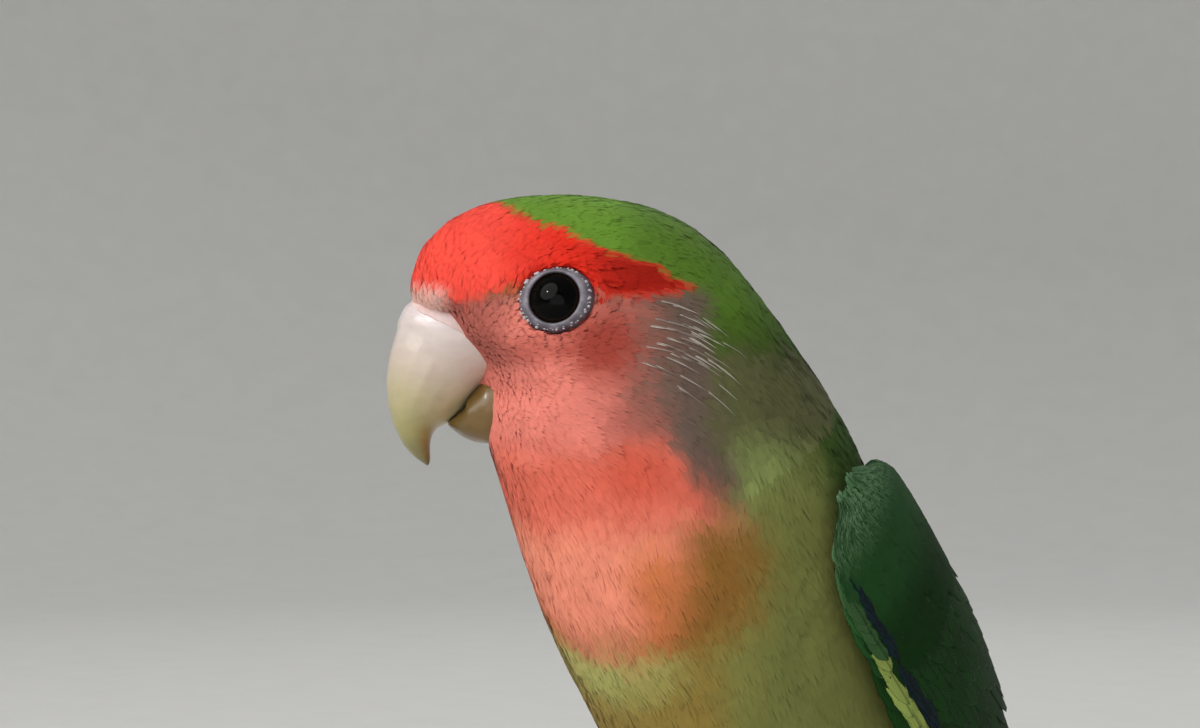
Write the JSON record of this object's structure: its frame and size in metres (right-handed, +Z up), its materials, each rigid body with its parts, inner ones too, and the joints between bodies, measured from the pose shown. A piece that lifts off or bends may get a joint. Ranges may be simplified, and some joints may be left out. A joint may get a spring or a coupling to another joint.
{
  "type": "peach-faced lovebird",
  "caption": "Standing peach-faced lovebird, a small short-tailed parrot with its head turned to the side, as a still life-size model.",
  "frame": {"origin": "on the floor, under the middle of the whole bird's bounding box", "axes": "+Z up from the floor to the crown; the torso faces -Y, with its left side towards +X; the head is turned 45 degrees to the bird's right"},
  "size_m": [0.047, 0.1102, 0.13],
  "materials": {
    "face_plumage": "short soft feathers, red brow and rosy pink face",
    "neck_plumage": "soft feathers, rosy throat and olive green nape",
    "breast_plumage": "soft feathers, orange pink bib over yellow green",
    "rump_plumage": "soft feathers, turquoise blue rump and green vent",
    "thigh_plumage": "soft feathers, yellow green",
    "wing_feathers": "smooth flight feathers and coverts, dark green with blackish tips",
    "tail_feathers": "smooth tail feathers, green with orange and black marks",
    "bill_horn": "smooth horn, cream to pale green, slightly glossy",
    "lower_bill_horn": "smooth olive yellow horn",
    "cere_skin": "bare pinkish white skin with two nostrils",
    "eye": "wet glossy eye, black with a thin dark brown iris",
    "eyelid_skin": "bare pale grey blue skin with a beaded white rim",
    "leg_skin": "grey scaly skin",
    "claw_horn": "dark grey horn"
  },
  "bodies": {
    "root": {"cere": "cere_skin", "claw_left_1": "claw_horn", "claw_left_2": "claw_horn", "claw_left_3": "claw_horn", "claw_left_4": "claw_horn", "claw_right_1": "claw_horn", "claw_right_2": "claw_horn", "claw_right_3": "claw_horn", "claw_right_4": "claw_horn", "eye_left": "eye", "eye_right": "eye", "eyelid_left": "eyelid_skin", "eyelid_right": "eyelid_skin", "foot_left": "leg_skin", "foot_right": "leg_skin", "head": "face_plumage", "lower_bill": "lower_bill_horn", "neck": "neck_plumage", "rump": "rump_plumage", "shank_left": "leg_skin", "shank_right": "leg_skin", "tail": "tail_feathers", "thigh_left": "thigh_plumage", "thigh_right": "thigh_plumage", "toe_left_1": "leg_skin", "toe_left_2": "leg_skin", "toe_left_3": "leg_skin", "toe_left_4": "leg_skin", "toe_right_1": "leg_skin", "toe_right_2": "leg_skin", "toe_right_3": "leg_skin", "toe_right_4": "leg_skin", "torso": "breast_plumage", "upper_bill": "bill_horn", "wing_left": "wing_feathers", "wing_right": "wing_feathers"}
  },
  "joints": []
}
